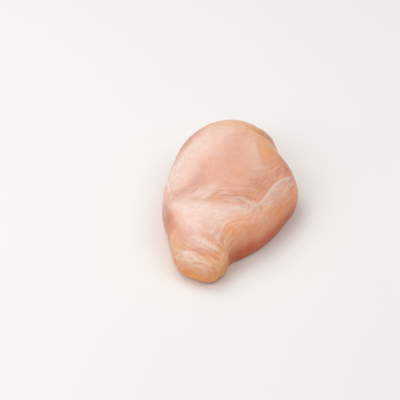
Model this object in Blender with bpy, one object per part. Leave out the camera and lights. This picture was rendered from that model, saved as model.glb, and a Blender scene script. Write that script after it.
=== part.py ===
"""Raw chicken breast, boneless and skinless: one piece of meat lying smooth side up.

Units are metres and +Z is up. +Y runs from the narrow tail to the wide shoulder end,
and +X to the side that carries the tendon. The origin lies under the middle of the
piece, on the surface that it rests on.
"""

import bmesh
import bpy
import numpy as np

# Driving dimensions
LENGTH = 0.180
WIDTH = 0.1015
THICKNESS = 0.0443
RIM_HEIGHT = 0.014  # height of the widest line of the side above the resting face
FOOT_SHARE = 0.45  # how far the side rolls under before it lies flat, 0 to 1 down the ball

# The loft from the tail tip to the shoulder end. Each station gives its place as a share
# of LENGTH, its left and right edge as shares of half the WIDTH, its crown as a share of
# THICKNESS, the height of its side as a share of RIM_HEIGHT, and how the section rounds
# from crown to side: 1 is an ellipse, and less is fuller.
STATIONS = (
    # along  left    right  crown  side  round
    (0.015, -0.279, 0.019, 0.38, 0.66, 0.62),
    (0.045, -0.503, 0.101, 0.49, 0.68, 0.62),
    (0.085, -0.624, 0.160, 0.57, 0.72, 0.62),
    (0.125, -0.686, 0.188, 0.63, 0.76, 0.65),
    (0.160, -0.729, 0.231, 0.67, 0.79, 0.68),
    (0.195, -0.771, 0.356, 0.70, 0.84, 0.71),
    (0.250, -0.811, 0.531, 0.74, 0.93, 0.75),
    (0.330, -0.931, 0.719, 0.76, 1.00, 0.79),
    (0.430, -1.001, 0.882, 0.80, 1.00, 0.84),
    (0.540, -1.000, 1.000, 0.88, 1.00, 0.89),
    (0.650, -0.970, 0.920, 0.98, 1.00, 0.93),
    (0.750, -0.925, 0.690, 1.00, 0.94, 0.95),
    (0.840, -0.805, 0.575, 0.93, 0.88, 0.95),
    (0.910, -0.655, 0.410, 0.78, 0.86, 0.93),
    (0.960, -0.495, 0.270, 0.62, 0.84, 0.90),
)

# Cage divisions across, along and up the piece
CAGE = (32, 56, 15)

# Folds of the top surface. Each is a line in plan that presses the surface in along its
# normal, by the depth given at each of its points; a negative depth raises it. The
# breadths are the reach of the fold to the left and to the right of its direction.
FOLDS = {
    "waist_valley": {
        "breadth": (0.0130, 0.0070),
        "line": (
            (-0.0440, -0.0200, 0.0004),
            (-0.0350, -0.0230, 0.0012),
            (-0.0190, -0.0250, 0.0019),
            (-0.0020, -0.0250, 0.0028),
            (0.0130, -0.0240, 0.0040),
            (0.0210, -0.0210, 0.0046),
            (0.0270, -0.0100, 0.0042),
            (0.0350, 0.0050, 0.0030),
            (0.0450, 0.0210, 0.0010),
        ),
    },
    "dome_hollow": {
        "breadth": (0.0090, 0.0100),
        "line": (
            (-0.0360, -0.0160, 0.0012),
            (-0.0240, -0.0080, 0.0024),
            (-0.0190, 0.0050, 0.0012),
        ),
    },
    "belly_ridge": {
        "breadth": (0.0070, 0.0140),
        "line": (
            (-0.0360, -0.0330, -0.0012),
            (-0.0140, -0.0390, -0.0015),
            (0.0100, -0.0380, -0.0012),
            (0.0260, -0.0270, -0.0006),
        ),
    },
    "flank_bulge": {
        "breadth": (0.0090, 0.0070),
        "line": (
            (0.0340, -0.0200, -0.0008),
            (0.0250, -0.0390, -0.0018),
            (0.0170, -0.0530, -0.0014),
        ),
    },
    "tail_crease": {
        "breadth": (0.0055, 0.0040),
        "line": (
            (0.0030, -0.0540, 0.0001),
            (0.0060, -0.0600, 0.0004),
            (0.0085, -0.0640, 0.0011),
            (0.0105, -0.0680, 0.0025),
            (0.0115, -0.0730, 0.0022),
        ),
    },
    "tail_dip": {
        "breadth": (0.0040, 0.0040),
        "line": (
            (-0.0250, -0.0730, 0.0002),
            (-0.0160, -0.0770, 0.0007),
            (-0.0060, -0.0800, 0.0010),
            (0.0010, -0.0810, 0.0008),
        ),
    },
    "tail_crest": {
        "breadth": (0.0040, 0.0040),
        "line": (
            (-0.0180, -0.0700, -0.0002),
            (-0.0100, -0.0730, -0.00035),
            (-0.0020, -0.0755, -0.00025),
        ),
    },
    "tail_lobe": {
        "breadth": (0.0040, 0.0050),
        "line": (
            (-0.0240, -0.0810, -0.0005),
            (-0.0130, -0.0845, -0.0007),
            (-0.0030, -0.0875, -0.0006),
        ),
    },
    "rear_crease": {
        "breadth": (0.0035, 0.0035),
        "line": (
            (0.0010, 0.0580, 0.0001),
            (0.0080, 0.0560, 0.0006),
            (0.0145, 0.0555, 0.0011),
            (0.0200, 0.0555, 0.0015),
            (0.0255, 0.0550, 0.0015),
            (0.0290, 0.0520, 0.0005),
        ),
    },
    "rear_lip": {
        "breadth": (0.0040, 0.0040),
        "line": (
            (0.0060, 0.0615, -0.0002),
            (0.0130, 0.0615, -0.0006),
            (0.0190, 0.0610, -0.0010),
            (0.0240, 0.0600, -0.0010),
        ),
    },
}
FADE_START = -0.40  # height on the ball at which the folds begin, under the side
FADE_END = -0.10  # height from which they reach their full depth


def clear_scene():
    for old in list(bpy.data.objects):
        bpy.data.objects.remove(old, do_unlink=True)


def smooth(places, values, at):
    """Cubic curve through the values at those places, read at the points asked for."""
    places, values = np.asarray(places, float), np.asarray(values, float)
    slope = np.gradient(values, places)
    at = np.clip(at, 0.0, 1.0)
    k = np.clip(np.searchsorted(places, at) - 1, 0, len(places) - 2)
    step = places[k + 1] - places[k]
    t = np.clip((at - places[k]) / step, -1.0, 2.0)
    return (
        (2 * t**3 - 3 * t**2 + 1) * values[k]
        + (t**3 - 2 * t**2 + t) * step * slope[k]
        + (3 * t**2 - 2 * t**3) * values[k + 1]
        + (t**3 - t**2) * step * slope[k + 1]
    )


def ball_cage():
    """A cube cut into even quads and rounded into a ball of radius 1."""
    bpy.ops.mesh.primitive_cube_add(size=2.0)
    obj = bpy.context.object
    cage = bmesh.new()
    cage.from_mesh(obj.data)
    for axis, count in enumerate(CAGE):
        normal = [0.0, 0.0, 0.0]
        normal[axis] = 1.0
        for cut in range(1, count):
            centre = [n * (2.0 * cut / count - 1.0) for n in normal]
            everything = cage.verts[:] + cage.edges[:] + cage.faces[:]
            bmesh.ops.bisect_plane(cage, geom=everything, plane_co=centre, plane_no=normal)
    cage.to_mesh(obj.data)
    cage.free()
    cube = read_points(obj.data)
    squares = cube**2
    other = squares[:, (1, 2, 0)], squares[:, (2, 0, 1)]
    ball = cube * np.sqrt(1 - other[0] / 2 - other[1] / 2 + other[0] * other[1] / 3)
    return obj, ball


def read_points(mesh):
    points = np.zeros(len(mesh.vertices) * 3)
    mesh.vertices.foreach_get("co", points)
    return points.reshape(-1, 3)


def write_points(mesh, points):
    mesh.vertices.foreach_set("co", points.ravel())
    mesh.update()


def breast_form(ball):
    """Lofts the ball into the body: round shoulders above, rolled sides, a flat foot."""
    along, left, right, crown, side, rounding = np.array(STATIONS).T
    across, place, height = ball[:, 0], (ball[:, 1] + 1) / 2, ball[:, 2]
    ring = np.sqrt(np.clip(1 - ball[:, 1] ** 2, 1e-9, None))
    station_ring = np.sqrt(1 - (2 * along - 1) ** 2)

    half_width = smooth(along, (right - left) / 2 / station_ring, place) * WIDTH / 2
    middle = smooth(along, (right + left) / 2, place) * WIDTH / 2
    side_up = smooth(along, side, place) * RIM_HEIGHT
    rise = smooth(along, (crown * THICKNESS - side * RIM_HEIGHT) / station_ring, place)

    up = np.clip(np.abs(height) / ring, 0, 1) ** smooth(along, rounding, place)
    under = np.sin(np.clip(np.abs(height) / FOOT_SHARE, 0, 1) * np.pi / 2)
    z = np.where(height >= 0, side_up + rise * ring * up, side_up * (1 - under))
    return np.stack([middle + half_width * across, (place - 0.5) * LENGTH, z], axis=1)


def fold_depth(points, fold):
    """How far one fold presses each point in, from its distance to the fold's line."""
    line = np.array(fold["line"])
    left_reach, right_reach = fold["breadth"]
    nearest = np.full(len(points), np.inf)
    depth = np.zeros(len(points))
    for start, end in zip(line[:-1], line[1:]):
        run = end[:2] - start[:2]
        offset = points[:, :2] - start[:2]
        t = np.clip(offset @ run / (run @ run), 0, 1)
        gap = offset - t[:, None] * run
        distance = np.hypot(gap[:, 0], gap[:, 1])
        aside = run[0] * gap[:, 1] - run[1] * gap[:, 0]
        leftness = 0.5 + 0.5 * aside / np.hypot(*run) / np.maximum(distance, 1e-9)
        reach = right_reach + (left_reach - right_reach) * leftness
        here = start[2] + t * (end[2] - start[2])
        closer = distance < nearest
        depth = np.where(closer, here * np.exp(-((distance / reach) ** 2)), depth)
        nearest = np.minimum(nearest, distance)
    return depth


def press_folds(obj, ball):
    """Presses every fold into the top of the piece, along the surface's own normals."""
    points = read_points(obj.data)
    normals = np.array([v.normal for v in obj.data.vertices])
    fade = np.clip((ball[:, 2] - FADE_START) / (FADE_END - FADE_START), 0, 1)
    total = sum(fold_depth(points, fold) for fold in FOLDS.values())
    write_points(obj.data, points - normals * (total * fade)[:, None])


def centre_on_origin(obj):
    """Moves the finished piece so that the origin is under the middle of its box."""
    points = read_points(obj.data)
    middle = (points.min(axis=0) + points.max(axis=0)) / 2
    middle[2] = points[:, 2].min()
    write_points(obj.data, points - middle)


def meat_material():
    material = bpy.data.materials.new("raw_chicken")
    material.use_nodes = True
    shader = material.node_tree.nodes["Principled BSDF"]
    shader.inputs["Base Color"].default_value = (0.80, 0.47, 0.36, 1.0)
    shader.inputs["Roughness"].default_value = 0.35
    shader.inputs["Metallic"].default_value = 0.0
    return material


def chicken_breast(collection):
    obj, ball = ball_cage()
    obj.name = obj.data.name = "chicken_breast"
    for home in list(obj.users_collection):
        home.objects.unlink(obj)
    collection.objects.link(obj)
    write_points(obj.data, breast_form(ball))
    press_folds(obj, ball)
    obj.data.shade_smooth()
    obj.data.materials.append(meat_material())
    centre_on_origin(obj)
    return obj


def main():
    clear_scene()
    collection = bpy.data.collections.new("raw_chicken_breast")
    bpy.context.scene.collection.children.link(collection)
    chicken_breast(collection)


main()
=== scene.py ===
# Raw chicken breast, boneless and skinless, lying smooth side up on a pale worktop.
import math

import bmesh
import bpy
import numpy as np
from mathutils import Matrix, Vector


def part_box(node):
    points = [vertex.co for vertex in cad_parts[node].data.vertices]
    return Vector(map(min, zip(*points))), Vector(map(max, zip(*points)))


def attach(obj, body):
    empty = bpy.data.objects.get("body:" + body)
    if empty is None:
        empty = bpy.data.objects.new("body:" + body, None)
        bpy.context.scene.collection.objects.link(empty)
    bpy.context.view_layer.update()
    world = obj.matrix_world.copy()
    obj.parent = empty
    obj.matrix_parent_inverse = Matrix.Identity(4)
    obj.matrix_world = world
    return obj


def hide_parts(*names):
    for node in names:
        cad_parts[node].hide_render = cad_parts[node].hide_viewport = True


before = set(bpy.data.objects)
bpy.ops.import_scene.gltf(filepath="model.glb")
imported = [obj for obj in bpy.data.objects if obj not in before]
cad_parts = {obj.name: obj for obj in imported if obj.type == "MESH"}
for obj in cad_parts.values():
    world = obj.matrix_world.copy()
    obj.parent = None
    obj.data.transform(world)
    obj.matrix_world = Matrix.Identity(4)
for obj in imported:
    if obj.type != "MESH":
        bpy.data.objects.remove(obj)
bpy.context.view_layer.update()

mm = 0.001


def toLinear(hexColour):
    # sRGB hex to the linear colour that shaders take
    channels = [int(hexColour[k:k + 2], 16) / 255 for k in (1, 3, 5)]
    bent = [c / 12.92 if c <= 0.04045 else ((c + 0.055) / 1.055) ** 2.4 for c in channels]
    return (*bent, 1.0)


def addNode(tree, kind, settings, links=None):
    # settings go by the node's own names, or by the name or number of a socket
    node = tree.nodes.new(kind)
    for name, value in settings.items():
        if isinstance(name, str) and hasattr(node, name):
            setattr(node, name, value)
        else:
            node.inputs[name].default_value = value
    for name, source in (links or {}).items():
        tree.links.new(source, node.inputs[name])
    return node


# Curves and lines, which shape the body, its folds, its fibres and its colours.
lineDrawing = {
    "runs": 3,  # short straight runs between each two points of a rounded line
    "faded": 3,  # how many reaches away nothing of a line is left
    "soft": 2,  # power of the fade with soft edges, and more is crisper
}


def smoothCurve(places, values, at):
    # cubic curve through the values, sloped by their neighbours
    places, values = np.asarray(places, float), np.asarray(values, float)
    slope = np.gradient(values, places)
    at = np.clip(at, 0.0, 1.0)
    k = np.clip(np.searchsorted(places, at) - 1, 0, len(places) - 2)
    step = places[k + 1] - places[k]
    t = np.clip((at - places[k]) / step, -1.0, 2.0)
    return (
        (2 * t**3 - 3 * t**2 + 1) * values[k]
        + (t**3 - 2 * t**2 + t) * step * slope[k]
        + (3 * t**2 - 2 * t**3) * values[k + 1]
        + (t**3 - t**2) * step * slope[k + 1]
    )


def roundedLine(line):
    # a curve through the line's points, cut into short straight runs
    line = np.array(line, float)
    if len(line) < 3:
        return line
    gaps = np.hypot(*np.diff(line[:, :2], axis=0).T)
    places = np.concatenate([[0], np.cumsum(gaps)]) / gaps.sum()
    at = np.linspace(0, 1, lineDrawing["runs"] * (len(line) - 1) + 1)
    return np.stack([smoothCurve(places, column, at) for column in line.T], axis=1)


def alongLine(points, line, reach, rounded=True, crisp=lineDrawing["soft"]):
    # the value of the nearest point of an (x, y, value) line, fading to its left and right
    line = roundedLine(line) if rounded else np.array(line, float)
    leftReach, rightReach = reach
    wide = lineDrawing["faded"] * max(reach)
    low, high = line[:, :2].min(axis=0) - wide, line[:, :2].max(axis=0) + wide
    close = np.flatnonzero(((points > low) & (points < high)).all(axis=1))
    here = points[close]
    nearest = np.full(len(close), np.inf)
    value = np.zeros(len(close))
    for start, end in zip(line[:-1], line[1:]):
        run = end[:2] - start[:2]
        offset = here - start[:2]
        t = np.clip(offset @ run / (run @ run), 0, 1)
        gap = offset - t[:, None] * run
        distance = np.hypot(gap[:, 0], gap[:, 1])
        aside = run[0] * gap[:, 1] - run[1] * gap[:, 0]
        leftness = 0.5 + 0.5 * aside / np.hypot(*run) / np.maximum(distance, 1e-9)
        breadth = rightReach + (leftReach - rightReach) * leftness
        amount = (start[2] + t * (end[2] - start[2])) * np.exp(-((distance / breadth) ** crisp))
        value = np.where(distance < nearest, amount, value)
        nearest = np.minimum(nearest, distance)
    field = np.zeros(len(points))
    field[close] = value
    return field


# The body of the meat, in mm: a ball pulled through stations from the tail to the shoulder
# end. Each gives its place along the length, its left and right edge as shares of half the
# width, its crown as a share of the thickness, its side's height as a share of rimHeight,
# and how its section rounds: 1 is an ellipse, and less is fuller.
breast = {
    "length": 180,
    "width": 101.5,
    "thickness": 44.3,
    "rimHeight": 14,  # of the widest line of the side
    "footShare": 0.45,  # how far down the ball the side rolls under before it lies flat
    "stations": (
        # along  left    right  crown  side  round
        (0.015, -0.279, 0.019, 0.38, 0.66, 0.62),
        (0.045, -0.503, 0.101, 0.49, 0.68, 0.62),
        (0.085, -0.624, 0.160, 0.57, 0.72, 0.62),
        (0.125, -0.686, 0.188, 0.63, 0.76, 0.65),
        (0.160, -0.729, 0.231, 0.67, 0.79, 0.68),
        (0.195, -0.771, 0.356, 0.70, 0.84, 0.71),
        (0.250, -0.811, 0.531, 0.74, 0.93, 0.75),
        (0.330, -0.931, 0.719, 0.76, 1.00, 0.79),
        (0.430, -1.001, 0.882, 0.80, 1.00, 0.84),
        (0.540, -1.000, 1.000, 0.88, 1.00, 0.89),
        (0.650, -0.970, 0.920, 0.98, 1.00, 0.93),
        (0.750, -0.925, 0.690, 1.00, 0.94, 0.95),
        (0.840, -0.805, 0.575, 0.93, 0.88, 0.95),
        (0.910, -0.655, 0.410, 0.78, 0.86, 0.93),
        (0.960, -0.495, 0.270, 0.62, 0.84, 0.90),
    ),
    "cage": (30, 46, 10),  # faces across, along and up, before they are halved
    "fineCuts": 2,  # of each edge of the fine mesh
    "fineAbove": -0.35,  # height on the ball, from 1 to -1, above which the mesh is fine
    "foldFade": (-0.40, -0.10),  # heights where the folds start and reach their full depth
    "upperFade": (-0.25, 0.0),  # where what is drawn in plan starts and is at its full
    "sideFade": (-0.42, -0.27),  # where what is drawn on the sides does
}

# Folds press the top in along a line of x, y and depth in mm; a minus depth raises it.
folds = {
    "waistValley": {
        "reach": (13, 7),
        "line": (
            (-44, -20, 0.4), (-35, -23, 1.2), (-19, -25, 1.9), (-2, -25, 2.8), (13, -24, 4.0),
            (21, -21, 4.6), (27, -10, 4.2), (35, 5, 3.0), (45, 21, 1.0),
        ),
    },
    "domeHollow": {"reach": (9, 10), "line": ((-36, -16, 1.2), (-24, -8, 2.4), (-19, 5, 1.2))},
    "bellyRidge": {
        "reach": (7, 14),
        "line": ((-36, -33, -1.2), (-14, -39, -1.5), (10, -38, -1.2), (26, -27, -0.6)),
    },
    "flankBulge": {"reach": (9, 7), "line": ((34, -20, -0.8), (25, -39, -1.8), (17, -53, -1.4))},
    "tailCrease": {
        "reach": (5.5, 4),
        "line": ((3, -54, 0.1), (6, -60, 0.4), (8.5, -64, 1.1), (10.5, -68, 2.5), (11.5, -73, 2.2)),
    },
    "tailDip": {
        "reach": (4, 4),
        "line": ((-25, -73, 0.2), (-16, -77, 0.7), (-6, -80, 1.0), (1, -81, 0.8)),
    },
    "tailCrest": {
        "reach": (4, 4),
        "line": ((-18, -70, -0.2), (-10, -73, -0.35), (-2, -75.5, -0.25)),
    },
    "tailLobe": {
        "reach": (4, 5),
        "line": ((-24, -81, -0.5), (-13, -84.5, -0.7), (-3, -87.5, -0.6)),
    },
    "rearCrease": {
        "reach": (3.5, 3.5),
        "line": (
            (1, 58, 0.1), (8, 56, 0.6), (14.5, 55.5, 1.1), (20, 55.5, 1.5), (25.5, 55, 1.5),
            (29, 52, 0.5),
        ),
    },
    "rearLip": {
        "reach": (4, 4),
        "line": ((6, 61.5, -0.2), (13, 61.5, -0.6), (19, 61, -1.0), (24, 60, -1.0)),
    },
}


def ballCage():
    # a cube cut into even faces, fine above and coarse below, and rounded into a ball
    cage = bmesh.new()
    bmesh.ops.create_cube(cage, size=2.0)
    for axis, count in enumerate(breast["cage"]):
        normal = [0.0, 0.0, 0.0]
        normal[axis] = 1.0
        for cut in range(1, count):
            centre = [n * (2.0 * cut / count - 1.0) for n in normal]
            everything = cage.verts[:] + cage.edges[:] + cage.faces[:]
            bmesh.ops.bisect_plane(cage, geom=everything, plane_co=centre, plane_no=normal)
    bmesh.ops.subdivide_edges(cage, edges=cage.edges[:], cuts=1, use_grid_fill=True)
    upper = [face for face in cage.faces if face.calc_center_median().z > breast["fineAbove"]]
    edges = list({edge for face in upper for edge in face.edges})
    bmesh.ops.subdivide_edges(cage, edges=edges, cuts=breast["fineCuts"], use_grid_fill=True)
    mesh = bpy.data.meshes.new("breast_meat")
    cage.to_mesh(mesh)
    cage.free()
    cube = readPoints(mesh)
    one, other = cube[:, (1, 2, 0)] ** 2, cube[:, (2, 0, 1)] ** 2
    return mesh, cube * np.sqrt(1 - one / 2 - other / 2 + one * other / 3)


def readPoints(mesh):
    points = np.zeros(len(mesh.vertices) * 3, np.float32)
    mesh.vertices.foreach_get("co", points)
    return points.reshape(-1, 3).astype(float)


def readNormals(mesh):
    normals = np.zeros(len(mesh.vertices) * 3, np.float32)
    mesh.vertex_normals.foreach_get("vector", normals)
    return normals.reshape(-1, 3).astype(float)


def writePoints(mesh, points):
    mesh.vertices.foreach_set("co", points.astype(np.float32).ravel())
    mesh.update()


def breastForm(ball):
    # the ball pulled into the body: a round top, sides that roll under, a flat foot
    along, left, right, crown, side, rounding = np.array(breast["stations"]).T
    width, thickness, rim = (breast[k] * mm for k in ("width", "thickness", "rimHeight"))
    across, place, height = ball[:, 0], (ball[:, 1] + 1) / 2, ball[:, 2]
    ring = np.sqrt(np.clip(1 - ball[:, 1] ** 2, 1e-9, None))
    stationRing = np.sqrt(1 - (2 * along - 1) ** 2)

    halfWidth = smoothCurve(along, (right - left) / 2 / stationRing, place) * width / 2
    middle = smoothCurve(along, (right + left) / 2, place) * width / 2
    sideUp = smoothCurve(along, side, place) * rim
    rise = smoothCurve(along, (crown * thickness - side * rim) / stationRing, place)

    up = np.clip(np.abs(height) / ring, 0, 1) ** smoothCurve(along, rounding, place)
    under = np.sin(np.clip(np.abs(height) / breast["footShare"], 0, 1) * np.pi / 2)
    z = np.where(height >= 0, sideUp + rise * ring * up, sideUp * (1 - under))
    y = (place - 0.5) * breast["length"] * mm
    return np.stack([middle + halfWidth * across, y, z], axis=1)


def fadeIn(ball, heights):
    start, full = heights
    return np.clip((ball[:, 2] - start) / (full - start), 0, 1)


def pressFolds(mesh, ball):
    points = readPoints(mesh)
    fade = fadeIn(ball, breast["foldFade"])
    plan = points[:, :2] / mm
    lines = [(fold["line"], fold["reach"]) for fold in folds.values()]
    depth = sum(alongLine(plan, line, reach, rounded=False) for line, reach in lines)
    writePoints(mesh, points - readNormals(mesh) * (depth * fade * mm)[:, None])


def fitToFrame(mesh):
    # to the box of the solid, so that both meet the same planes
    points = readPoints(mesh)
    low, high = (np.array(corner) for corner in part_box("chicken_breast"))
    ownLow, ownHigh = points.min(axis=0), points.max(axis=0)
    writePoints(mesh, low + (points - ownLow) * (high - low) / (ownHigh - ownLow))


# The muscle fibres. Their direction in plan is given at guide points: x and y in mm and the
# angle in degrees from +X. Random specks combed along it give the grain of the meat. A real
# fibre is under 0.1 mm thick, too fine to show, so they are drawn as coarse as a cell.
fibres = {
    "guides": (
        # shoulder end and dome
        (-22, 58, 60), (-3, 60, 85), (10, 57, 95), (20, 56, 140), (-40, 38, 95), (-22, 28, 145),
        (0, 34, 10), (11, 36, 90), (22, 32, 108), (36, 22, 58), (-45, 2, 92), (-24, 10, 95),
        (-8, 6, 112), (4, 4, 130), (16, 12, 20), (31, 6, 66), (43, 8, 72),
        # foot of the dome and waist
        (-42, -14, 90), (-32, -12, 28), (-18, -8, 25), (0, -9, 172), (14, -10, 12), (27, -8, 66),
        (37, -10, 70), (-30, -18, 36), (-20, -23, 50), (-8, -22, 32), (4, -21, 15), (14, -24, 150),
        (22, -26, 76), (-18, -31, 68), (-2, -31, 66), (14, -32, 105),
        # belly and flank
        (-40, -38, 108), (-26, -40, 175), (-6, -40, 22), (9, -42, 12), (20, -37, 75),
        (29, -37, 125), (34, -28, 66), (-34, -50, 112), (-20, -51, 165), (2, -53, 47), (18, -47, 40),
        # tail
        (-27, -61, 95), (-16, -62, 157), (-1, -61, 64), (5, -63, 103), (10, -61, 93),
        (-23, -70, 140), (-10, -70, 163),
        (4, -74, 168), (-20, -79, 175), (-4, -80, 168), (-3, -87, 178),
    ),
    "guideReach": 8,  # mm, over which a guide point holds its direction
    "cell": 0.6,  # mm, width of a speck
    "combLength": 3,  # mm, that a speck is drawn out each way
    "half": (80, 120),  # mm, half the sheet of specks across and along
    "fine": {"cellsWide": 1, "seed": 11},
    "broad": {"cellsWide": 3, "seed": 12},
    "fineHeight": 0.060,  # mm, one standard deviation of the finest fibres
    "broadHeight": 0.070,  # mm, of the bundles of fibres
    "fineTone": 1.45,  # how much each colours the grain
    "broadTone": 0.42,
    "faintTone": 0.2,  # of the grain's colour where no fibres show
    "storedSpread": 0.17,  # of the grain around the middle of its 0 to 1 scale
    "breakUp": 0.60,  # how unevenly the single strands show
    "unrollFrom": 30,  # mm, the sides are laid out flat from this height
    # how strongly the fibres show, over a faint grain everywhere
    "everywhere": 0.10,
    "strongest": 1.8,
    "strongSides": (
        ((12, 12), ((-58, -50, 0.5), (-62, -20, 0.8), (-64, 10, 0.8), (-58, 38, 0.8), (-40, 74, 0.8),
                    (-20, 94, 0.8), (0, 100, 0.9), (20, 92, 0.8), (42, 68, 0.7), (60, 34, 0.6),
                    (66, 4, 0.4))),
    ),
    "strongAlong": (
        ((10, 9), ((-22, 57, 0.4), (-4, 62, 0.4), (10, 60, 0.8), (24, 58, 0.9))),
        ((6, 7), ((-45, 24, 0.5), (-47, 2, 0.9), (-45, -20, 0.8), (-40, -40, 0.8))),
        ((12, 9), ((40, 24, 0.6), (31, 10, 0.9), (24, 0, 1.0), (18, -8, 1.0))),
        ((7, 13), ((24, -24, 0.8), (32, -8, 0.9), (42, 10, 0.9))),
        ((10, 8), ((-36, -19, 0.9), (-20, -22, 1.1), (-4, -24, 0.9), (12, -25, 1.4), (22, -24, 1.1))),
        ((9, 6), ((-34, -33, 0.5), (-24, -37, 0.2), (0, -42, 0.1))),
        ((6, 8), ((29, -28, 1.4), (21, -41, 1.4), (10, -49, 1.1), (4, -58, 1.6), (7, -68, 1.8))),
        ((10, 8), ((-24, -67, 0.6), (-8, -70, 0.9), (2, -74, 1.0))),
        ((8, 7), ((-27, -78, 1.5), (-14, -84, 1.7), (-1, -84, 1.6))),
    ),
}

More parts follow.
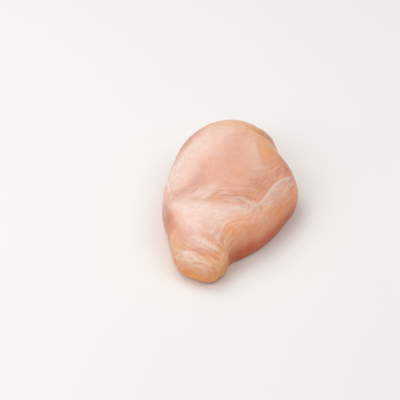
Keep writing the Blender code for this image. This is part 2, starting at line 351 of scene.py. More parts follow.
# Single strands and creases that stand out of the grain. Each group gives how far it lifts
# the surface and its reach to each side, in mm, how pale or, with a minus, how dark it is,
# where the dark is painted shade in the creases, and its lines of x, y and strength, in plan
# or on the sides as unroll lays them flat.
strands = {
    "waistFibres": {
        "lift": 0.11,
        "reach": 0.50,
        "tone": 0.55,
        "lines": (
            ((-26.3, -21.7, 0.5), (-23.6, -18.8, 1.0), (-21, -15.7, 1.0), (-15.6, -11.3, 0.3)),
            ((-24.9, -23.9, 0.3), (-22.3, -21.3, 0.8), (-18.5, -17.6, 0.6), (-13.1, -13.3, 0.3)),
            ((-20.4, -29.3, 0.4), (-17.7, -25, 1.1), (-15.1, -22.1, 1.2), (-11.5, -19, 0.5)),
            ((-18.5, -30.1, 0.5), (-15.6, -25.8, 1.2), (-12.5, -22.7, 1.2), (-9, -19.4, 0.5)),
            ((-22, -29.6, 0.2), (-20, -26.5, 0.6), (-17, -22.9, 0.3)),
            ((-7.2, -32, 0.3), (-4.5, -26.6, 0.8), (-1.9, -24.1, 0.9), (2.3, -22.1, 0.5)),
            ((-4.9, -31.4, 0.3), (-1.6, -26.3, 0.8), (2, -23.7, 0.9), (6.1, -22.3, 0.4)),
            ((-9.4, -23.6, 0.3), (-5.4, -20.2, 0.8), (-1.1, -18.9, 0.8), (3.4, -18.3, 0.3)),
            ((-16.1, -18.3, 0.3), (-12, -15.4, 0.6), (-6.4, -12.2, 0.2)),
            ((-11, -17.6, 0.2), (-5.2, -15.6, 0.5), (1.4, -14.7, 0.3)),
            ((0.2, -29.6, 0.2), (2.6, -26.2, 0.6), (6.8, -24.6, 0.3)),
            ((3.6, -32.1, 0.3), (8, -32.1, 0.6), (12.6, -33.3, 0.6), (17.8, -33.4, 0.3)),
            ((5.1, -26.2, 0.3), (10.4, -26.8, 0.7), (15.9, -29.7, 0.8), (19.7, -30.8, 0.4)),
            ((7.7, -22.7, 0.2), (13.7, -22.8, 0.5), (19.8, -24.8, 0.3)),
        ),
    },
    "waistCreases": {
        "lift": -0.22,
        "reach": 0.50,
        "tone": -0.62,
        "lines": (
            ((1.5, -21.4, 0.2), (5, -19.7, 0.7), (9.4, -18.4, 1.0), (15.2, -17.4, 1.0),
             (22.1, -17.8, 0.6)),
            ((-12.1, -26.3, 0.3), (-8.1, -22.3, 0.6), (-3.8, -21, 0.6), (2.1, -20.1, 0.3)),
            ((-14.6, -27.5, 0.3), (-11.2, -23.9, 0.6), (-8.1, -21.2, 0.3)),
            ((-22.2, -20.4, 0.2), (-18.0, -16.0, 0.5), (-14.0, -13.0, 0.2)),
            ((4.5, -24.2, 0.2), (10.4, -25.2, 0.5), (16.6, -28.4, 0.4)),
            ((-27.6, -20.4, 0.5), (-24.6, -17.2, 0.6), (-22, -13.8, 0.3)),
        ),
    },
    "tendon": {
        "lift": 0.18,
        "reach": 0.9,
        "tone": 0.33,
        "lines": (
            ((18.5, -37.4, 0.4), (22.1, -31.0, 0.9), (25.3, -22.8, 1.0), (28.5, -13.2, 0.7),
             (33.5, -0.6, 0.5), (39.0, 7.6, 0.6), (45.2, 16.8, 0.5)),
            ((4.8, -42.3, 0.3), (11.8, -39.1, 0.5), (18.8, -35.4, 0.6)),
        ),
    },
    "tendonFibres": {
        "lift": 0.10,
        "reach": 0.45,
        "tone": 0.42,
        "lines": (
            ((18.4, -33.8, 0.4), (21.2, -28.4, 1.0), (23.2, -23.2, 0.6)),
            ((20.6, -33.2, 0.3), (23.6, -26.4, 0.8), (26.2, -19.6, 0.4)),
            ((26.0, -17.4, 0.3), (28.2, -11.4, 0.7), (30.8, -4.8, 0.3)),
            ((32.2, -1.2, 0.2), (36.2, 5.2, 0.6), (40.8, 12.2, 0.4)),
        ),
    },
    "flankFibres": {
        "lift": 0.10,
        "reach": 0.50,
        "tone": 0.26,
        "lines": (
            ((22.6, -39.8, 0.3), (24.7, -41.6, 0.8), (27, -42.3, 0.3)),
            ((24.1, -37.2, 0.3), (26.6, -39.2, 0.9), (29.4, -40, 0.3)),
            ((26.5, -34.9, 0.3), (28.6, -36.6, 0.9), (30.9, -37.3, 0.3)),
            ((28.5, -29.3, 0.3), (30.5, -30.6, 0.8), (33.1, -30.3, 0.3)),
        ),
    },
    "creaseFibres": {
        "lift": 0.14,
        "reach": 0.45,
        "tone": 0.64,
        "lines": (
            ((-1.6, -60.2, 0.3), (0.1, -56.8, 0.7), (2.6, -53.4, 0.3)),
            ((-3.2, -64.9, 0.3), (-0.8, -60.7, 0.7), (1.6, -56.9, 0.7), (3.5, -54.5, 0.3)),
            ((1.4, -57.6, 0.2), (2.2, -61.4, 0.7), (3.2, -65.4, 0.6), (4.2, -68.6, 0.2)),
            ((3.6, -58.3, 0.3), (4.1, -61.8, 0.9), (5, -65.6, 0.9), (6, -68, 0.3)),
            ((5.3, -57.1, 0.3), (5.8, -60.6, 0.8), (6.4, -63.3, 0.8), (7.1, -64.8, 0.3)),
            ((7.6, -57.9, 0.3), (7.9, -60.3, 0.7), (8, -62.9, 0.3)),
            ((9.8, -58, 0.2), (10.1, -60, 0.6), (10, -61.1, 0.2)),
        ),
    },
    "noseFibres": {
        "lift": 0.10,
        "reach": 0.45,
        "tone": 0.44,
        "lines": (
            ((-27.5, -76.4, 0.2), (-24.4, -77.8, 0.8), (-20.2, -78.2, 0.2)),
            ((-17.4, -79.6, 0.2), (-13.2, -81.2, 0.8), (-8.6, -82.2, 0.2)),
            ((-14.6, -86.4, 0.2), (-10.0, -87.2, 0.7), (-5.6, -88.0, 0.2)),
            ((-7.8, -80.8, 0.2), (-3.8, -82.0, 0.7), (0.2, -82.4, 0.2)),
            ((1.6, -74.8, 0.2), (4.2, -77.2, 0.8), (5.2, -80.4, 0.2)),
            ((-0.8, -76.0, 0.2), (2.6, -78.4, 0.7), (3.8, -82.0, 0.2)),
            ((-23.0, -85.2, 0.2), (-19.0, -86.6, 0.6), (-15.2, -88.0, 0.2)),
        ),
    },
    "noseCreases": {
        "lift": -0.10,
        "reach": 0.50,
        "tone": -0.40,
        "lines": (
            ((-22.6, -76.6, 0.2), (-17.6, -77.8, 0.7), (-12.8, -79.4, 0.2)),
            ((-19.2, -82.8, 0.2), (-14.4, -83.2, 0.6), (-9.4, -84.4, 0.2)),
            ((-5.8, -79.6, 0.2), (-2.0, -80.6, 0.7), (1.4, -81.4, 0.2)),
            ((0.4, -74.6, 0.2), (3.4, -77.4, 0.6), (4.6, -80.8, 0.2)),
        ),
    },
    "flankCreases": {
        "lift": -0.08,
        "reach": 0.55,
        "tone": -0.35,
        "lines": (
            ((5.8, -47.4, 0.3), (7.9, -48.9, 0.8), (10.2, -50.2, 0.3)),
            ((7.8, -45.8, 0.3), (10.2, -47.4, 0.8), (12.2, -48.4, 0.3)),
            ((15.1, -41.9, 0.3), (17.6, -44.6, 0.8), (20.1, -46.3, 0.3)),
            ((19.3, -40.4, 0.3), (21.8, -42.4, 0.3)),
            ((4.4, -57.8, 0.2), (5.0, -61.2, 0.5), (5.7, -64.6, 0.2)),
            ((6.5, -58.0, 0.2), (6.9, -61.2, 0.4), (7.2, -63.6, 0.2)),
            ((5.7, -54.3, 0.6), (7.3, -55.7, 0.6)),
        ),
    },
    "tailWrinkles": {
        "lift": 0.13,
        "reach": 0.55,
        "tone": 0.45,
        "lines": (
            ((-21, -67.4, 0.3), (-17.9, -68.7, 0.9), (-14.8, -70.4, 1.1), (-10.1, -72.5, 0.4)),
            ((-19.8, -65.5, 0.3), (-16, -66.8, 0.8), (-11.3, -69.1, 0.9), (-6, -71.1, 0.4)),
            ((-15.6, -64.4, 0.2), (-10.2, -66.5, 0.6), (-4.8, -69, 0.6), (0.5, -70.9, 0.3)),
            ((-20.5, -70.8, 0.3), (-15.9, -72.8, 0.8), (-10.5, -74.7, 0.8), (-6, -76.1, 0.3)),
            ((-5.7, -73.3, 0.3), (-1.1, -74.7, 0.8), (2.6, -75.2, 0.8), (4.8, -75.6, 0.4)),
            ((-25, -80.1, 0.5), (-22.2, -79.6, 1.1), (-18.6, -79.1, 0.4)),
            ((-24.1, -81.6, 0.5), (-20.4, -81.8, 1.0), (-16.8, -81.8, 0.4)),
            ((-20.9, -83.6, 0.3), (-16.5, -84, 0.8), (-11.2, -85.4, 0.4)),
            ((-11.4, -83.8, 0.3), (-6.9, -85.2, 0.8), (-3.1, -86.7, 0.3)),
            ((-22.5, -62.0, 0.2), (-17.5, -63.6, 0.6), (-12.5, -65.2, 0.2)),
            ((-3.4, -82.4, 0.2), (-0.6, -83.6, 0.6), (1.8, -84.8, 0.2)),
        ),
    },
    "sideFibres": {
        "onSides": True,
        "lift": 0.10,
        "reach": 0.60,
        "tone": 0.30,
        "lines": (
            ((-57, -38, 0.2), (-59, -22, 0.8), (-58.5, -4, 0.6), (-57, 12, 0.2)),
            ((-61, -30, 0.2), (-63, -12, 0.7), (-62, 4, 0.2)),
            ((-64, -6, 0.2), (-65, 10, 0.8), (-61, 28, 0.2)),
            ((-56, 14, 0.2), (-55, 28, 0.7), (-49, 44, 0.5), (-42, 54, 0.2)),
            ((-60, 32, 0.2), (-53, 48, 0.7), (-42, 66, 0.2)),
            ((-34, 70, 0.2), (-33, 80, 0.7), (-34, 88, 0.2)),
            ((-22, 78, 0.2), (-22, 89, 0.8), (-24, 99, 0.2)),
            ((-10, 84, 0.2), (-11, 95, 0.8), (-12, 104, 0.2)),
            ((1, 82, 0.2), (2, 92, 0.7), (4, 103, 0.3)),
            ((11, 82, 0.2), (14, 91, 0.8), (18, 99, 0.2)),
            ((22, 76, 0.2), (26, 84, 0.6), (32, 90, 0.2)),
            ((38, 62, 0.2), (46, 56, 0.7), (54, 46, 0.2)),
            ((56, 36, 0.2), (61, 22, 0.7), (63, 8, 0.2)),
            ((62, 14, 0.2), (66, 0, 0.6), (66, -12, 0.2)),
        ),
    },
    "sideWrinkles": {
        "onSides": True,
        "lift": -0.35,
        "reach": 1.5,
        "tone": -0.14,
        "lines": (
            ((-32, 78, 0.2), (-20, 89, 0.9), (-4, 94, 0.9), (9, 91, 0.3)),
            ((6, 84, 0.2), (18, 87, 0.9), (30, 78, 0.4)),
            ((-16, 100, 0.2), (-2, 103, 0.7), (12, 100, 0.2)),
            ((-50, 46, 0.2), (-57, 30, 0.8), (-61, 12, 0.8), (-62, -2, 0.2)),
            ((-53, -28, 0.2), (-57, -42, 0.8), (-52, -56, 0.3)),
            ((52, 42, 0.2), (60, 26, 0.8), (64, 8, 0.3)),
        ),
    },
    "bellyWisps": {
        "lift": 0.07,
        "reach": 0.7,
        "tone": 0.32,
        "lines": (
            ((-34.8, -35.7, 0.3), (-31.6, -34.4, 1.0), (-28.2, -34.2, 0.3)),
            ((-33.0, -39.4, 0.2), (-29.4, -38.0, 0.7), (-25.0, -37.7, 0.3)),
            ((-28.1, -43.0, 0.2), (-24.6, -42.0, 0.6), (-20.6, -42.7, 0.2)),
            ((-20.1, -47.0, 0.2), (-16.6, -48.3, 0.6), (-13.6, -49.7, 0.2)),
            ((-6.0, -46.0, 0.2), (-2.6, -44.4, 0.6), (0.9, -42.6, 0.2)),
            ((-2.0, -49.6, 0.2), (1.2, -47.2, 0.6), (4.2, -44.4, 0.2)),
        ),
    },
}


def combedGrain(cellsWide, seed):
    # specks that many cells wide, drawn out along the fibres, over the plan and the sides
    cell = fibres["cell"]
    countX, countY = (int(2 * half / cell) for half in fibres["half"])
    size = (countX // cellsWide + 2, countY // cellsWide + 2)
    specks = np.random.default_rng(seed).random(size)
    rows, columns = np.arange(countX, dtype=float), np.arange(countY, dtype=float)
    gridX, gridY = np.meshgrid(rows, columns, indexing="ij")
    x, y = gridX * cell - fibres["half"][0], gridY * cell - fibres["half"][1]
    cosine, sine = np.zeros_like(x), np.zeros_like(x)  # of twice the angle, as fibres have no front
    for guideX, guideY, angle in fibres["guides"]:
        away = ((x - guideX) ** 2 + (y - guideY) ** 2) / fibres["guideReach"] ** 2
        cosine += math.cos(2 * math.radians(angle)) / (1 + away) ** 2
        sine += math.sin(2 * math.radians(angle)) / (1 + away) ** 2
    angle = np.arctan2(sine, cosine) / 2
    stepX, stepY = np.cos(angle), np.sin(angle)
    total = readGrid(specks, gridX / cellsWide, gridY / cellsWide)
    for way in (1, -1):
        atX, atY = gridX.copy(), gridY.copy()
        lastX, lastY = way * stepX, way * stepY
        for _ in range(int(fibres["combLength"] / cell)):
            goX, goY = nearestCell(stepX, atX, atY), nearestCell(stepY, atX, atY)
            turn = np.where(goX * lastX + goY * lastY < 0, -1.0, 1.0)  # never doubles back
            lastX, lastY = goX * turn, goY * turn
            atX, atY = atX + lastX, atY + lastY
            total += readGrid(specks, atX / cellsWide, atY / cellsWide)
    return (total - total.mean()) / total.std()


def nearestCell(grid, x, y):
    i = np.clip(np.rint(x).astype(int), 0, grid.shape[0] - 1)
    j = np.clip(np.rint(y).astype(int), 0, grid.shape[1] - 1)
    return grid[i, j]


def readGrid(grid, x, y):
    # blended between four cells
    edge = 1.001  # keeps off the last row and column, which have no next one
    x = np.clip(x, 0, grid.shape[0] - edge)
    y = np.clip(y, 0, grid.shape[1] - edge)
    i, j = x.astype(int), y.astype(int)
    u, v = x - i, y - j
    near = grid[i, j] * (1 - v) + grid[i, j + 1] * v
    far = grid[i + 1, j] * (1 - v) + grid[i + 1, j + 1] * v
    return near * (1 - u) + far * u


# Where the meat's colours lie, each over the ones before it: lines of x, y and strength
# in plan, or on the sides as unroll lays them flat, each with its reach to the left and right
# in mm. Many are painted shade and light: warm shade on the sides turned from the light, in
# hollows, in creases and at the foot, and painted sheen on the lit film. A crisp tone has
# firmer edges. One that sets in below a height gives that height and the one where it is at
# its full, in mm.
tones = {
    # painted warm shade, orange where the surface turns from the light and in the dips
    "amberShade": {
        "bands": (
            ((15, 6), ((2, 78, 0.1), (10, 64, 0.35), (18, 50, 0.9), (22, 36, 0.85), (26, 24, 0.65),
                       (28, 10, 0.3), (27, -2, 0.1))),
            ((9, 6), ((-22, 58, 0.3), (-12, 62, 0.5), (-2, 61, 0.6), (7, 58, 0.5))),
            ((6, 6), ((4, 60, 0.4), (8, 47, 0.40), (11, 36, 0.35), (14, 24, 0.25), (17, 14, 0.15))),
            ((3.2, 3.2), ((4.6, 1, 0.35), (6.8, -2.5, 0.2))),
            ((5, 5), ((13, -13, 0.2), (21, -13, 0.4), (26, -6, 0.2))),
            ((4, 5), ((-14, -27, 0.2), (-9, -26.5, 0.5), (-6.6, -24, 0.3))),
            ((6, 5), ((4, -56, 0.9), (10, -51, 0.95), (15, -47.5, 0.9), (20, -44, 0.6),
                      (25, -41, 0.1))),
            ((7, 5), ((9, -38, 0.25), (16, -42, 0.5), (23, -38, 0.2), (30, -31, 0.2), (38, -22, 0.4))),
            ((2.8, 2.6), ((-27, -75, 0.3), (-23, -77, 0.6), (-16, -78.4, 0.7), (-10, -79.2, 0.7),
                          (-5, -79.6, 0.9))),
            ((4.2, 4.2), ((-6.5, -80.6, 0.7), (-1.5, -80.6, 1.0), (1.8, -81, 0.9))),
            ((3, 3), ((-3, -69, 0.3), (0.5, -72, 0.8), (4, -75, 0.4))),
            ((5, 5), ((-36, -60, 0.15), (-28, -69, 0.25), (-20, -75, 0.35), (-8, -78.5, 0.2))),
            ((4, 4), ((-42.5, -35, 0.6), (-40.5, -41, 0.9), (-37.5, -51, 0.9), (-35, -58, 0.4))),
        ),
        "sides": (
            ((6, 6), ((-32, 80, 0.2), (-16, 92, 0.5), (0, 92, 0.2))),
            ((5, 5), ((60, 2, 0.2), (66, -14, 0.4), (60, -30, 0.2))),
            ((5, 6), ((-56, -30, 0.2), (-60, -44, 0.5), (-52, -60, 0.3))),
        ),
    },
    # painted shade in the hollows and on the dome's front slope, which faces away from the light
    "salmonShade": {
        "bands": (
            ((11, 11), ((-4, 30, 0.15), (-4, 18, 0.35), (-8, 6, 0.35), (-14, -4, 0.3))),
            ((6, 8), ((25, -9, 0.5), (16, -14, 0.15), (2, -17, 0.1), (-8, -20, 0.25))),
            ((5, 6), ((-40, -21, 0.6), (-36, -17, 0.8), (-30, -12, 0.9), (-25, -7, 0.9),
                      (-22, 0, 0.5), (-20, 8, 0.3))),
            ((5, 4), ((-29, -66, 0.3), (-21, -71, 0.5), (-14, -78, 0.5), (-3, -81.5, 0.5))),
            ((5, 4), ((-25, -63, 0.2), (-17, -64.5, 0.3), (-10, -66, 0.2))),
            ((2.5, 2.5), ((-29, -74, 0.2), (-24.5, -76.5, 0.7), (-20, -77.5, 0.3))),
        ),
        "sides": (
            ((8, 8), ((-60, 26, 0.3), (-52, 50, 0.6), (-36, 74, 0.4))),
            ((8, 8), ((16, 88, 0.3), (32, 76, 0.6), (48, 56, 0.4), (60, 30, 0.3))),
        ),
    },
    # the pale film, and painted highlights and sheen on the left rim, the belly, the tail crest and
    # the upper flank
    "filmAndSheen": {
        "bands": (
            ((9, 15), ((-43, -16, 0.4), (-45, -2, 0.9), (-43, 10, 1.0), (-38, 24, 0.9),
                       (-28, 36, 0.7), (-20, 48, 0.5))),
            ((12, 12), ((-18, 30, 0.3), (-10, 44, 0.35), (-6, 52, 0.2))),
            ((1.4, 10), ((7, 54, 0.05), (10.4, 46, 0.15), (12.9, 38, 0.28), (15.4, 29, 0.38),
                         (18.4, 19, 0.36), (20.5, 10, 0.15))),
            ((8, 12), ((-38, -32, 0.5), (-26, -36, 0.6), (-12, -40, 0.75), (2, -41, 0.5),
                       (12, -38, 0.3))),
            ((5.5, 5.5), ((-35.5, -33, 0.5), (-30, -32.5, 0.9), (-27, -38, 0.5))),
            ((7, 8), ((-31, -40, 0.3), (-26, -46, 0.5), (-22, -53, 0.5), (-20, -60, 0.35))),
            ((3, 3), ((-5, -35.5, 0.2), (5, -36, 0.35), (13, -36.5, 0.25), (20, -35, 0.1))),
            ((10, 10), ((-12, -50, 0.5), (-4, -52, 0.45))),
            ((6, 6), ((-18, -57, 0.2), (-11, -58, 0.25), (-3, -61, 0.12))),
            ((5, 5), ((0, -42, 0.1), (7, -41, 0.25), (13, -39, 0.1))),
            ((5.5, 6), ((20, -44, 0.3), (26, -43, 0.75), (30.5, -38, 0.5), (34, -32, 0.25))),
            ((7, 7), ((5, 61, 0.1), (10, 52, 0.18), (16, 44, 0.18), (20, 38, 0.1))),
            ((3.5, 3.5), ((-20, -71.5, 0.3), (-15, -73, 0.5), (-9, -74.6, 0.45), (-4, -76.2, 0.35))),
            ((4, 4), ((-28, -80, 0.3), (-22, -83.5, 0.3), (-14, -86, 0.38), (-8, -87, 0.28))),
            ((5, 5), ((-27, -25, 0.4), (-19, -19, 0.5), (-12, -14, 0.3))),
            ((2.2, 3.0), ((4, -36.5, 0.1), (12, -36, 0.2), (18, -34, 0.3))),
            ((1.6, 1.6), ((-17, -68, 0.2), (-12.5, -69.8, 0.5), (-7, -72.4, 0.3), (-1, -74.5, 0.1))),
            ((3, 3), ((-27, -79.4, 0.3), (-23.6, -79.8, 0.7), (-19, -80, 0.45), (-13, -82.6, 0.2),
                      (-7, -84.6, 0.3))),
        ),
        "sides": (
            ((9, 9), ((-58, -34, 0.2), (-63, -10, 0.6), (-62, 12, 0.4))),
            ((8, 8), ((-16, 98, 0.3), (0, 99, 0.6), (14, 94, 0.3))),
            ((7, 7), ((60, 28, 0.2), (65, 10, 0.4), (64, -8, 0.2))),
        ),
    },
    "membrane": {
        "crisp": 5,
        "bands": (
            ((1.4, 13), ((21, -33, 0.2), (25, -23, 0.6), (28.8, -12, 0.9), (33.8, 0, 0.9),
                         (40.4, 10, 0.9), (47, 19, 0.7))),
            ((3, 3), ((33, -19, 0.3), (37, -19.5, 0.6), (40, -15, 0.5))),
            ((2.8, 2.8), ((1, -22.8, 0.3), (8, -22.6, 0.6), (15, -24.5, 0.8), (20, -24.5, 0.7))),
        ),
    },
    # painted shade, darker rose in the creases, along edges and low on the shaded left side
    "roseCreaseShade": {
        "bands": (
            ((3, 2.5), ((2, 59, 0.2), (8, 57, 0.4), (14.5, 56, 0.55), (20, 55.5, 0.6),
                        (26, 54.5, 0.7))),
            ((2.5, 4), ((30, 36, 0.3), (35.5, 29, 0.6), (40, 24, 0.6), (44, 18, 0.4))),
            ((5, 6), ((-45, 28, 0.2), (-43, 38, 0.6), (-38, 47, 0.8), (-31, 56, 0.4))),
            ((4, 4), ((-47, -26, 0.5), (-46, -34, 0.8), (-43, -44, 1.0), (-39, -55, 0.9))),
            ((2.5, 1.5), ((-4, -22, 0.2), (8, -18.5, 0.3), (18, -18, 0.4), (25, -18, 0.3))),
            ((7, 7), ((22, -4, 0.2), (31, 6, 0.3), (40, 20, 0.3))),
            ((1.8, 1.2), ((20, -26, 0.2), (23.2, -20, 0.25), (26.8, -10, 0.2), (31.8, 1.5, 0.2),
                          (37.6, 9.5, 0.1))),
            ((3.5, 3.5), ((-43, -36, 0.4), (-41, -42, 0.7), (-38.5, -50, 0.5), (-35.5, -55, 0.35))),
            ((1.5, 1.1), ((5, 57.5, 0.2), (12, 56.0, 0.6), (19, 55.2, 0.9), (27, 54.0, 0.8))),
            ((2.5, 3), ((37, -26, 0.1), (41, -20, 0.4), (45, -12, 0.3))),
        ),
    },
    "sinew": {
        "crisp": 3,
        "bands": (
            ((1.0, 5.5), ((19.5, -36, 0.1), (22.8, -30, 0.4), (25.8, -22.4, 0.6), (29, -12, 0.6),
                          (34, 0, 0.5), (39.4, 8, 0.5), (45, 16, 0.4))),
            ((2.0, 3.0), ((9, -34, 0.2), (15, -33.5, 0.4), (20.5, -30, 0.4))),
        ),
    },
    # painted cool shade at the edges and in the creases
    "lilacShade": {
        "bands": (
            ((2.5, 2.5), ((-47, -26, 0.4), (-46, -32, 0.7), (-43.6, -40, 0.4))),
            ((2.2, 2.2), ((-36, -20, 0.4), (-32, -17.8, 0.7), (-28, -16.2, 0.5))),
            ((3.5, 3.5), ((14, -51.5, 0.4), (18.8, -53, 0.6), (22, -52, 0.4))),
            ((3, 3), ((-45, 34, 0.4), (-46.6, 26, 0.6), (-47, 18, 0.3))),
            ((3, 3), ((9, 62.5, 0.3), (14, 61, 0.6), (20, 60, 0.7), (26, 58, 0.6))),
            ((3, 3), ((-31, -60, 0.2), (-29, -65, 0.4), (-28, -69, 0.2))),
        ),
        "sides": (
            ((4, 4), ((-62, -22, 0.2), (-66, -2, 0.5), (-64, 16, 0.2))),
            ((4, 4), ((-28, 90, 0.2), (-12, 101, 0.5), (6, 104, 0.3))),
        ),
    },
    # painted warm light, lifting the shaded flank and the crease beside the tail
    "flankWarmLight": {
        "bands": (
            ((6, 9), ((49, -4, 0.5), (45, -14, 0.6), (38, -30, 0.7), (31, -43, 0.8), (21, -55, 0.6))),
            ((3, 3), ((3, -57, 0.4), (5.5, -62, 0.6), (7, -67, 0.5))),
            ((4, 4), ((7, -56, 0.3), (12, -53.5, 0.3), (18, -49, 0.2))),
            ((3, 3), ((9, -64, 0.3), (10.5, -59, 0.6), (13, -55, 0.15))),
            ((3.5, 3.5), ((-5, -79.4, 0.3), (-1.2, -80.2, 0.6), (2, -81, 0.4))),
            ((3, 4), ((45, 26, 0.3), (49, 12, 0.45), (49, 0, 0.5))),
            ((3.5, 4), ((31, -29, 0.2), (38, -26.5, 0.5), (44, -18, 0.7), (48, -10, 0.5))),
        ),
    },
    # a yellowish fat tint, with painted light on the tail's shaded right rim and the crease beside it
    "peachFatAndLight": {
        "bands": (
            ((3, 6), ((-20, -83, 0.1), (-10, -86, 0.35), (-2, -85.5, 0.65), (4, -81, 0.9),
                      (6, -75, 0.7), (5.5, -66, 0.25))),
            ((3, 3), ((-35, -60, 0.3), (-31, -70, 0.4), (-28, -80, 0.3), (-24, -84.5, 0.4))),
            ((3, 3), ((-26, -82.5, 0.25), (-20, -86, 0.45), (-13.5, -88.5, 0.35))),
            ((8, 8), ((-16, 56, 0.3), (-4, 55, 0.5), (6, 54, 0.4))),
            ((1.8, 1.8), ((4.6, -56.5, 0.3), (5.8, -61, 0.7), (6.6, -66, 0.7))),
            ((7, 7), ((8, 62, 0.15), (11, 54, 0.3), (15, 46, 0.3), (19, 38, 0.1))),
        ),
    },
    # painted shade, darker and warmer towards the foot of the sides
    "lowSideShade": {
        "below": (23, 8),
        "everywhere": 0.30,
        "bands": (
            ((12, 14), ((50, 8, 0.7), (50, 0, 0.8), (46, -14, 1.0), (36, -36, 1.0), (25, -50, 1.0),
                        (14, -59, 1.0), (10, -68, 0.7))),
        ),
    },
    # painted warm shade, orange towards the foot of the tail
    "lowTailShade": {
        "below": (16, 6),
        "bands": (
            ((8, 8), ((-36, -60, 0.4), (-31, -76, 0.6), (-20, -86, 0.9), (-8, -90, 0.9),
                      (2, -87, 0.9), (7, -76, 0.7))),
        ),
    },
}


def unroll(points, normals):
    # the plan in mm, with the sides laid out flat around it
    return points[:, :2] / mm + normals[:, :2] * (fibres["unrollFrom"] - points[:, 2:3] / mm)


def meatRelief(mesh, unrolled, upper, sides):
    # raises the fibres and strands, and gives how pale the grain and the strands are
    points = readPoints(mesh)
    plan = points[:, :2] / mm
    cells = [(unrolled[:, axis] + fibres["half"][axis]) / fibres["cell"] for axis in (0, 1)]
    fine = readGrid(combedGrain(**fibres["fine"]), *cells)
    broad = readGrid(combedGrain(**fibres["broad"]), *cells)

    strong = sum(alongLine(plan, line, reach) for reach, line in fibres["strongAlong"]) * upper
    strong += sum(alongLine(unrolled, line, reach) for reach, line in fibres["strongSides"]) * sides
    strength = fibres["everywhere"] + strong
    height = (fibres["fineHeight"] * fine + fibres["broadHeight"] * broad) * strength
    strand = np.zeros(len(points))
    for group in strands.values():
        reach = (group["reach"], group["reach"])
        where, share = (unrolled, sides) if "onSides" in group else (plan, upper)
        drawn = sum(alongLine(where, line, reach) for line in group["lines"]) * share
        drawn *= np.clip(1 + fibres["breakUp"] * broad, 0, 2)  # from gone to twice as strong
        height += group["lift"] * drawn
        strand += group["tone"] * drawn
    writePoints(mesh, points + readNormals(mesh) * (height * mm)[:, None])
    grain = fibres["fineTone"] * fine + fibres["broadTone"] * broad
    faint = fibres["faintTone"]
    grain *= faint + (1 - faint) * np.clip(strength, 0, fibres["strongest"])
    return grain, strand


def toneShares(tone, points, unrolled, upper, sides):
    # how much of the tone each point has, where crossing bands don't add up past 1
    plan = points[:, :2] / mm
    crisp = tone.get("crisp", lineDrawing["soft"])
    bands = [alongLine(plan, line, reach, crisp=crisp) for reach, line in tone["bands"]]
    bare = np.prod([1 - band for band in bands], axis=0)
    bare *= 1 - tone.get("everywhere", 0)
    if "below" in tone:
        start, full = tone["below"]
        down = np.clip((start - points[:, 2] / mm) / (start - full), 0, 1)
        return (1 - bare) * down * down * (3 - 2 * down)
    low = [alongLine(unrolled, line, reach, crisp=crisp) for reach, line in tone.get("sides", ())]
    return 1 - (1 - (1 - bare) * upper) * np.prod([1 - band * sides for band in low], axis=0)


def storeShares(mesh, name, shares):
    attribute = mesh.attributes.new(name, "FLOAT", "POINT")
    attribute.data.foreach_set("value", shares.astype(np.float32))


def breastMeat():
    mesh, ball = ballCage()
    writePoints(mesh, breastForm(ball))
    smoothNormals = readNormals(mesh)  # without the folds, so that the sides lie flat evenly
    pressFolds(mesh, ball)
    fitToFrame(mesh)
    print("body and folds shaped:", len(mesh.vertices), "vertices")
    smoothPoints = readPoints(mesh)
    unrolled = unroll(smoothPoints, smoothNormals)
    upper, sides = fadeIn(ball, breast["upperFade"]), fadeIn(ball, breast["sideFade"])
    grain, strand = meatRelief(mesh, unrolled, upper, sides)
    fitToFrame(mesh)
    middle = 0.5  # both are stored from 0, dark, to 1, pale
    storeShares(mesh, "grain", middle + fibres["storedSpread"] * grain)
    storeShares(mesh, "strand", np.clip(middle + middle * strand, 0, 1))
    for name, tone in tones.items():
        storeShares(mesh, name, toneShares(tone, smoothPoints, unrolled, upper, sides))
    print("fibres, strands and tones laid on")
    mesh.shade_smooth()
    meat = bpy.data.objects.new("breast_meat", mesh)
    bpy.context.scene.collection.objects.link(meat)
    return meat


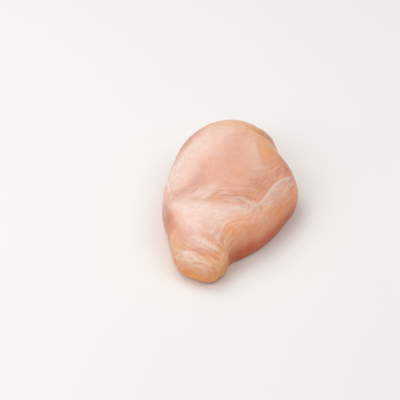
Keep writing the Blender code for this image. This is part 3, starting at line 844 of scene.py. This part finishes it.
# Raw poultry muscle, cut and skinned, still wet. Light soaks some millimetres into the flesh
# and comes back warm, and the clear film of juice on it gives a broad, soft gloss.
rawPoultry = {
    "flesh": "#e4b098",
    "amberShade": "#eea771",  # painted warm shade: orange on the sides turned from the light, in the folds and dips and at the shaded foot of the left side
    "salmonShade": "#d0917a",  # painted shade on the slopes turned from the light, in the hollows and in the tail's dips
    "filmAndSheen": "#f1d9cf",  # the pale film that wraps the muscle, with painted sheen and highlights where it faces the light
    "membrane": "#dcb8a9",
    "roseCreaseShade": "#cf846a",  # painted shade in creases and along the edges, and in the shaded foot of the left side
    "sinew": "#cdae9f",
    "lilacShade": "#d3aaa2",  # painted cool shade along the edges and in the creases
    "flankWarmLight": "#f49e66",  # painted warm light on the shaded right flank and in the crease beside the tail
    # yellowish fat tint, and painted light on the tail's shaded right rim and crease
    "peachFatAndLight": "#f5c592",
    "lowSideShade": "#c9602f",  # painted shade at the foot of the sides, warm as light bounced up from below
    # painted warm shade at the foot of the tail
    "lowTailShade": "#e99c58",
    "strandPale": "#f8e0d4",
    # painted shade in the fine creases
    "creaseShade": "#bd7763",
    # linear shares of the colour, where the fibres and the mottling are deepest and palest
    "grainDeep": (0.96, 0.82, 0.74, 1),
    "grainPale": (1.04, 1.16, 1.22, 1),
    "mottleDeep": (0.985, 0.94, 0.91, 1),
    "mottlePale": (1.015, 1.06, 1.09, 1),
    "roughness": 0.44,  # of the flesh under the juice
    "ior": 1.40,  # of muscle
    "soak": (1.0, 0.40, 0.24),  # red light goes deepest
    "soakDepth": 3.5,  # mm
    "soakShare": 0.35,
    "wet": 0.22,  # how much of the film of juice is left
    "wetRoughness": 0.30,
    "wetIor": 1.33,  # of water
    "patchSize": 14,  # mm, soft patches in each tone
    "patchDetail": 3.0,
    "patchRange": (0.30, 0.65),  # of the noise, spread over patchShares
    "patchShares": (0.72, 1.12),
    "mottleSize": 5,  # mm, mottling of the flesh
    "mottleDetail": 4.0,
    "mottleRange": (0.30, 0.70),
    "strandShare": 0.75,  # of its own colour in the strongest strand or crease
}


def rawPoultryMeat():
    material = bpy.data.materials.new("raw_poultry_meat")
    material.use_nodes = True
    tree = material.node_tree
    shader = tree.nodes["Principled BSDF"]
    coordinates = addNode(tree, "ShaderNodeTexCoord", {})
    patches = addNode(
        tree, "ShaderNodeTexNoise",
        {"Scale": 1 / (rawPoultry["patchSize"] * mm), "Detail": rawPoultry["patchDetail"]},
        {"Vector": coordinates.outputs["Object"]},
    )
    mottle = addNode(
        tree, "ShaderNodeTexNoise",
        {"Scale": 1 / (rawPoultry["mottleSize"] * mm), "Detail": rawPoultry["mottleDetail"]},
        {"Vector": coordinates.outputs["Object"]},
    )
    (thin, thick), (least, most) = rawPoultry["patchRange"], rawPoultry["patchShares"]
    broken = addNode(
        tree, "ShaderNodeMapRange",
        {"From Min": thin, "From Max": thick, "To Min": least, "To Max": most},
        {"Value": patches.outputs["Fac"]},
    )
    # the flesh, then each tone over it, a little broken up; the tones carry painted shade and light as
    # well as the meat's own colours
    colour = None
    for name in tones:
        share = addNode(tree, "ShaderNodeAttribute", {"attribute_name": name})
        patchy = addNode(
            tree, "ShaderNodeMath", {"operation": "MULTIPLY", "use_clamp": True},
            {0: share.outputs["Fac"], 1: broken.outputs["Result"]},
        )
        settings = {"data_type": "RGBA", 7: toLinear(rawPoultry[name])}
        links = {0: patchy.outputs["Value"]}
        if colour is None:
            settings[6] = toLinear(rawPoultry["flesh"])
        else:
            links[6] = colour
        colour = addNode(tree, "ShaderNodeMix", settings, links).outputs[2]
    # the grain of the fibres and the mottling deepen and pale what lies under them
    grain = addNode(tree, "ShaderNodeAttribute", {"attribute_name": "grain"})
    shaded = addNode(
        tree, "ShaderNodeMix",
        {"data_type": "RGBA", 6: rawPoultry["grainDeep"], 7: rawPoultry["grainPale"]},
        {0: grain.outputs["Fac"]},
    )
    deepest, palest = rawPoultry["mottleRange"]
    spread = addNode(
        tree, "ShaderNodeMapRange", {"From Min": deepest, "From Max": palest},
        {"Value": mottle.outputs["Fac"]},
    )
    marbled = addNode(
        tree, "ShaderNodeMix",
        {"data_type": "RGBA", 6: rawPoultry["mottleDeep"], 7: rawPoultry["mottlePale"]},
        {0: spread.outputs["Result"]},
    )
    both = addNode(
        tree, "ShaderNodeVectorMath", {"operation": "MULTIPLY"},
        {0: shaded.outputs[2], 1: marbled.outputs[2]},
    )
    varied = addNode(
        tree, "ShaderNodeVectorMath", {"operation": "MULTIPLY"},
        {0: colour, 1: both.outputs["Vector"]},
    )
    # single strands on top, pale above the middle of their scale, and below it the painted shade of
    # the creases
    strand = addNode(tree, "ShaderNodeAttribute", {"attribute_name": "strand"})
    middle, most = 0.5, rawPoultry["strandShare"]
    pale = addNode(
        tree, "ShaderNodeMapRange",
        {"From Min": middle, "From Max": 1.0, "To Min": 0.0, "To Max": most},
        {"Value": strand.outputs["Fac"]},
    )
    dark = addNode(
        tree, "ShaderNodeMapRange",
        {"From Min": middle, "From Max": 0.0, "To Min": 0.0, "To Max": most},
        {"Value": strand.outputs["Fac"]},
    )
    lit = addNode(
        tree, "ShaderNodeMix", {"data_type": "RGBA", 7: toLinear(rawPoultry["strandPale"])},
        {0: pale.outputs["Result"], 6: varied.outputs["Vector"]},
    )
    creased = addNode(
        tree, "ShaderNodeMix", {"data_type": "RGBA", 7: toLinear(rawPoultry["creaseShade"])},
        {0: dark.outputs["Result"], 6: lit.outputs[2]},
    )
    tree.links.new(creased.outputs[2], shader.inputs["Base Color"])
    shader.inputs["Roughness"].default_value = rawPoultry["roughness"]
    shader.inputs["IOR"].default_value = rawPoultry["ior"]
    shader.inputs["Subsurface Weight"].default_value = rawPoultry["soakShare"]
    shader.inputs["Subsurface Radius"].default_value = rawPoultry["soak"]
    shader.inputs["Subsurface Scale"].default_value = rawPoultry["soakDepth"] * mm
    shader.inputs["Coat Weight"].default_value = rawPoultry["wet"]
    shader.inputs["Coat Roughness"].default_value = rawPoultry["wetRoughness"]
    shader.inputs["Coat IOR"].default_value = rawPoultry["wetIor"]
    return material


# The view from above the tail, from a little over a metre away. A point in mm is set at a
# pixel of the square picture, counted from its top left.
cameraView = {
    "azimuth": 8,  # degrees, to the right of the meat's length
    "elevation": 37.5,
    "lens": 135,  # mm
    "sensor": 36,  # mm
    "picture": 400,  # pixels
    "pixelsPerMm": 1.31,
    "setPixel": (228, 215),
    "setPoint": (-1.05, -4.16, 0.0),
}


def placeCamera():
    azimuth, elevation = (math.radians(cameraView[k]) for k in ("azimuth", "elevation"))
    flat = math.cos(elevation)
    back = Vector((math.sin(azimuth) * flat, -math.cos(azimuth) * flat, math.sin(elevation)))
    right = Vector((math.cos(azimuth), math.sin(azimuth), 0))
    up = back.cross(right)
    pixelSize = mm / cameraView["pixelsPerMm"]
    distance = cameraView["picture"] * cameraView["lens"] / cameraView["sensor"] * pixelSize
    pixelX, pixelY = (p - cameraView["picture"] / 2 for p in cameraView["setPixel"])
    aim = Vector(cameraView["setPoint"]) * mm - right * pixelX * pixelSize + up * pixelY * pixelSize
    camera = bpy.data.objects.new("camera", bpy.data.cameras.new("camera"))
    camera.data.lens, camera.data.sensor_width = cameraView["lens"], cameraView["sensor"]
    camera.location = aim + back * distance
    camera.rotation_euler = back.to_track_quat("Z", "Y").to_euler()
    bpy.context.scene.collection.objects.link(camera)
    bpy.context.scene.camera = camera


# A worktop of matt white laminate, pressed and not polished: it shows a soft shadow and no
# mirror image.
worktop = {
    "size": 3.0,  # metres
    "colour": "#f1efec",
    "roughness": 0.7,
}


def layWorktop():
    mesh = bpy.data.meshes.new("worktop")
    form = bmesh.new()
    bmesh.ops.create_grid(form, x_segments=2, y_segments=2, size=worktop["size"] / 2)
    form.to_mesh(mesh)
    form.free()
    floor = bpy.data.objects.new("worktop", mesh)
    bpy.context.scene.collection.objects.link(floor)
    material = bpy.data.materials.new("matt_white_laminate")
    material.use_nodes = True
    shader = material.node_tree.nodes["Principled BSDF"]
    shader.inputs["Base Color"].default_value = toLinear(worktop["colour"])
    shader.inputs["Roughness"].default_value = worktop["roughness"]
    mesh.materials.append(material)


# Soft daylight from large softboxes: azimuth and elevation in degrees, distance and size in
# metres, power in watts.
studio = {
    "skyColour": "#ffffff",
    "sky": 0.40,
    "lightsAway": 1.2,
    "lights": {
        "rear": {"azimuth": 135, "elevation": 58, "size": 0.8, "power": 5.4},
        "front": {"azimuth": 225, "elevation": 38, "size": 0.8, "power": 4.8},
        "side": {"azimuth": 0, "elevation": 58, "size": 0.8, "power": 3.3},
    },
}


def lightStudio():
    world = bpy.data.worlds.new("studio")
    world.use_nodes = True
    background = world.node_tree.nodes["Background"]
    background.inputs["Strength"].default_value = studio["sky"]
    background.inputs["Color"].default_value = toLinear(studio["skyColour"])
    bpy.context.scene.world = world
    for name, light in studio["lights"].items():
        lamp = bpy.data.objects.new(name, bpy.data.lights.new(name, "AREA"))
        lamp.data.energy, lamp.data.size = light["power"], light["size"]
        azimuth, elevation = math.radians(light["azimuth"]), math.radians(light["elevation"])
        flat = math.cos(elevation)
        towards = Vector((math.cos(azimuth) * flat, math.sin(azimuth) * flat, math.sin(elevation)))
        lamp.location = towards * studio["lightsAway"]
        lamp.rotation_euler = towards.to_track_quat("Z", "Y").to_euler()
        bpy.context.scene.collection.objects.link(lamp)
    bpy.context.scene.view_settings.view_transform = "Standard"


placeCamera()
layWorktop()
lightStudio()
print("camera, worktop and softboxes placed")
meat = breastMeat()
meat.data.materials.append(rawPoultryMeat())
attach(meat, "root")
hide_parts("chicken_breast")
print("raw poultry meat laid on, and the breast set on its body")
